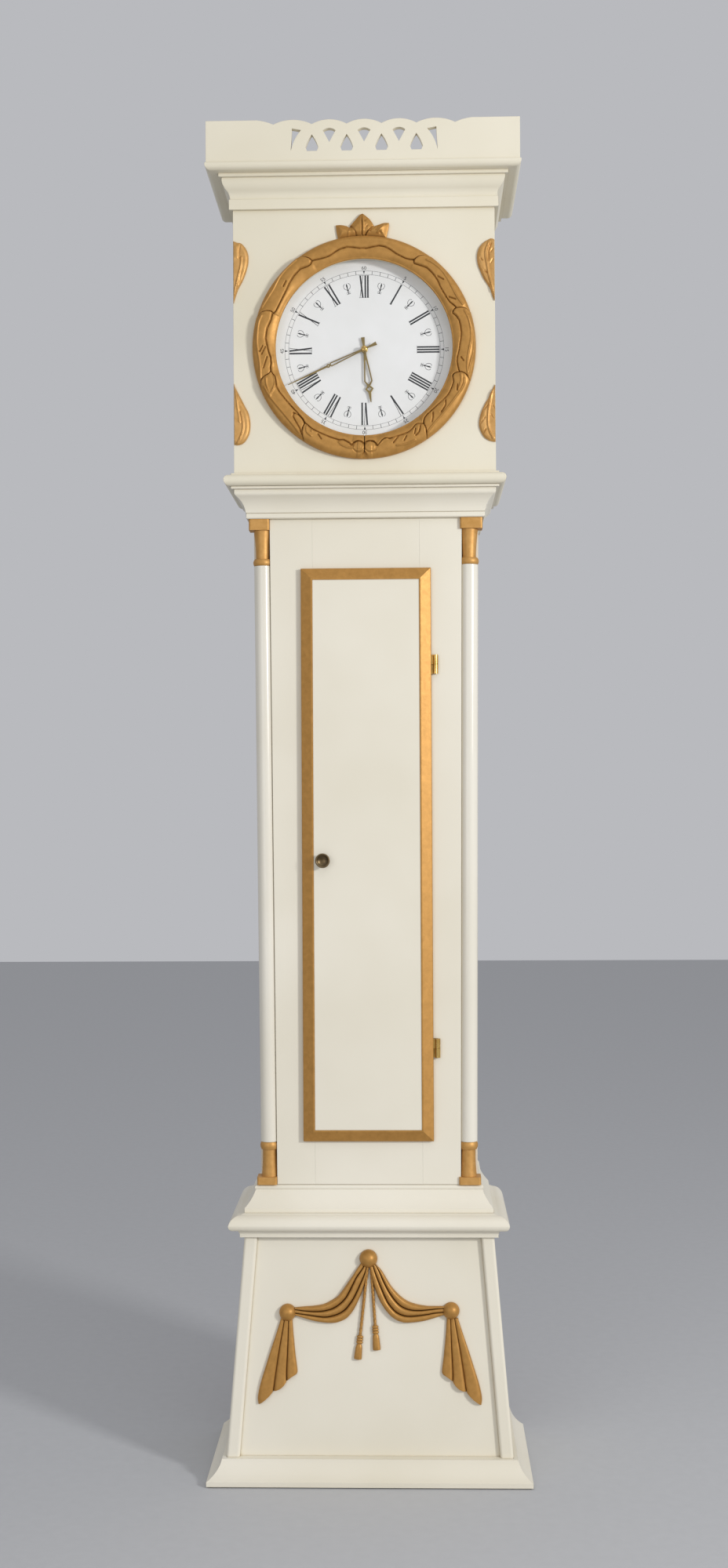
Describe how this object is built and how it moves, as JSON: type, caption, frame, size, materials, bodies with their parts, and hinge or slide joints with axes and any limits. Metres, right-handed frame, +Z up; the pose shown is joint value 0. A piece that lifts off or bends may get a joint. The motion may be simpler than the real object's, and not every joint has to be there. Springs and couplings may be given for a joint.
{
  "type": "longcase clock",
  "caption": "Painted longcase clock with gilt mouldings: overlaid trunk door, hood that slides forward, round glazed dial, and a chain-wound pendulum movement.",
  "frame": {"origin": "on the floor, under the middle of the clock's bounding box", "axes": "+Z up, the dial faces -Y, +X to the right when facing the dial"},
  "size_m": [0.464, 0.24, 1.95],
  "materials": {
    "trunk_paint": "satin cream paint on pine",
    "hood_paint": "worn satin cream paint on pine",
    "column_paint": "semi-gloss white paint on turned pine",
    "gilding": "old gold leaf on carved and turned wood",
    "bare_pine": "bare aged pine",
    "dial_paint": "white painted sheet iron with black numerals",
    "hand_metal": "brass darkened with age",
    "brass": "lacquered brass",
    "steel": "polished steel",
    "iron": "dark cast iron",
    "knob_metal": "darkened brass",
    "glass": "thin old window glass"
  },
  "bodies": {
    "case": {"plinth_mouldings": "trunk_paint", "base_panel": "trunk_paint", "base_posts": "trunk_paint", "base_sides": "trunk_paint", "base_floor": "bare_pine", "base_cap_mouldings": "trunk_paint", "base_ogee_mouldings": "trunk_paint", "backboard": "bare_pine", "trunk_stile_left": "trunk_paint", "trunk_stile_right": "trunk_paint", "trunk_rails": "trunk_paint", "trunk_sides": "trunk_paint", "column_shafts": "column_paint", "column_capitals": "gilding", "column_bases": "gilding", "waist_mouldings": "trunk_paint", "swag_bosses": "gilding", "swag_festoons": "gilding", "swag_drops": "gilding", "swag_tassels": "gilding", "seat_board": "bare_pine", "dial": "dial_paint", "movement_frame": "brass", "suspension_cock": "steel", "hinge_case_leaves": "brass", "door_catch": "iron", "weight_chain": "brass", "free_chain": "brass"},
    "door": {"door_panel": "trunk_paint", "door_border": "gilding", "door_knob": "knob_metal", "hinge_door_leaves": "brass"},
    "hood": {"hood_base_frame": "hood_paint", "hood_front": "hood_paint", "hood_side_left": "hood_paint", "hood_side_right": "hood_paint", "crown_board": "hood_paint", "hood_cornice": "hood_paint", "frieze_front": "hood_paint", "frieze_returns": "hood_paint", "bezel_ring": "gilding", "bezel_crest": "gilding", "glass": "glass", "corner_leaves": "gilding"},
    "great_arbor": {"great_wheel": "brass"},
    "centre_arbor": {"centre_wheel": "brass", "cannon_pinion": "steel", "minute_hand": "hand_metal"},
    "third_arbor": {"third_wheel": "brass"},
    "escape_arbor": {"escape_wheel": "brass"},
    "motion_arbor": {"minute_wheel": "brass"},
    "hour_pipe": {"hour_wheel": "brass", "hour_hand": "hand_metal"},
    "anchor": {"anchor": "steel"},
    "pendulum": {"pendulum_rod": "steel", "pendulum_bob": "brass"},
    "rating_nut": {"rating_nut": "brass"},
    "weight": {"weight": "iron"},
    "pull_ring": {"pull_ring": "brass"}
  },
  "joints": [
    {"name": "door_hinge", "type": "hinge", "parent": "case", "child": "door", "pos_m": [0.1008, -0.0582, 0.888], "axis": [0, 0, 1], "range_deg": [0, 110]},
    {"name": "hood_slide", "type": "slide", "parent": "case", "child": "hood", "axis": [0, -1, 0], "range_m": [0, 0.21]},
    {"name": "centre_spin", "type": "hinge", "parent": "case", "child": "centre_arbor", "pos_m": [0, 0, 1.6304], "axis": [0, 1, 0], "continuous": true},
    {"name": "great_spin", "type": "hinge", "parent": "case", "child": "great_arbor", "pos_m": [0, 0, 1.57865], "axis": [0, 1, 0], "continuous": true},
    {"name": "third_spin", "type": "hinge", "parent": "case", "child": "third_arbor", "pos_m": [0.02019, 0, 1.66537], "axis": [0, 1, 0], "continuous": true},
    {"name": "escape_spin", "type": "hinge", "parent": "case", "child": "escape_arbor", "pos_m": [0, 0, 1.69785], "axis": [0, 1, 0], "continuous": true},
    {"name": "motion_spin", "type": "hinge", "parent": "case", "child": "motion_arbor", "pos_m": [0.01697, 0, 1.61343], "axis": [0, 1, 0], "continuous": true},
    {"name": "hour_spin", "type": "hinge", "parent": "case", "child": "hour_pipe", "pos_m": [0, 0, 1.6304], "axis": [0, 1, 0], "continuous": true},
    {"name": "pendulum_swing", "type": "hinge", "parent": "case", "child": "pendulum", "pos_m": [0, 0.042, 1.72431], "axis": [0, 1, 0], "range_deg": [-3.5, 3.5]},
    {"name": "anchor_rock", "type": "hinge", "parent": "case", "child": "anchor", "pos_m": [0, 0, 1.72431], "axis": [0, 1, 0], "range_deg": [-3.5, 3.5]},
    {"name": "rating_nut_turn", "type": "hinge", "parent": "pendulum", "child": "rating_nut", "pos_m": [0, 0.042, 0.67431], "axis": [0, 0, 1], "continuous": true},
    {"name": "weight_slide", "type": "slide", "parent": "case", "child": "weight", "axis": [0, 0, 1], "range_m": [0, 0.5], "deforming": ["weight_chain"]},
    {"name": "ring_slide", "type": "slide", "parent": "case", "child": "pull_ring", "axis": [0, 0, 1], "range_m": [-0.5, 0], "deforming": ["free_chain"]}
  ],
  "couplings": [
    {"joint": "great_spin", "follows": "centre_spin", "ratio": -0.125},
    {"joint": "third_spin", "follows": "centre_spin", "ratio": -7.5},
    {"joint": "escape_spin", "follows": "centre_spin", "ratio": 60},
    {"joint": "motion_spin", "follows": "centre_spin", "ratio": -0.33333},
    {"joint": "hour_spin", "follows": "centre_spin", "ratio": 0.083333},
    {"joint": "anchor_rock", "follows": "pendulum_swing", "ratio": 1},
    {"joint": "ring_slide", "follows": "weight_slide", "ratio": -1}
  ]
}
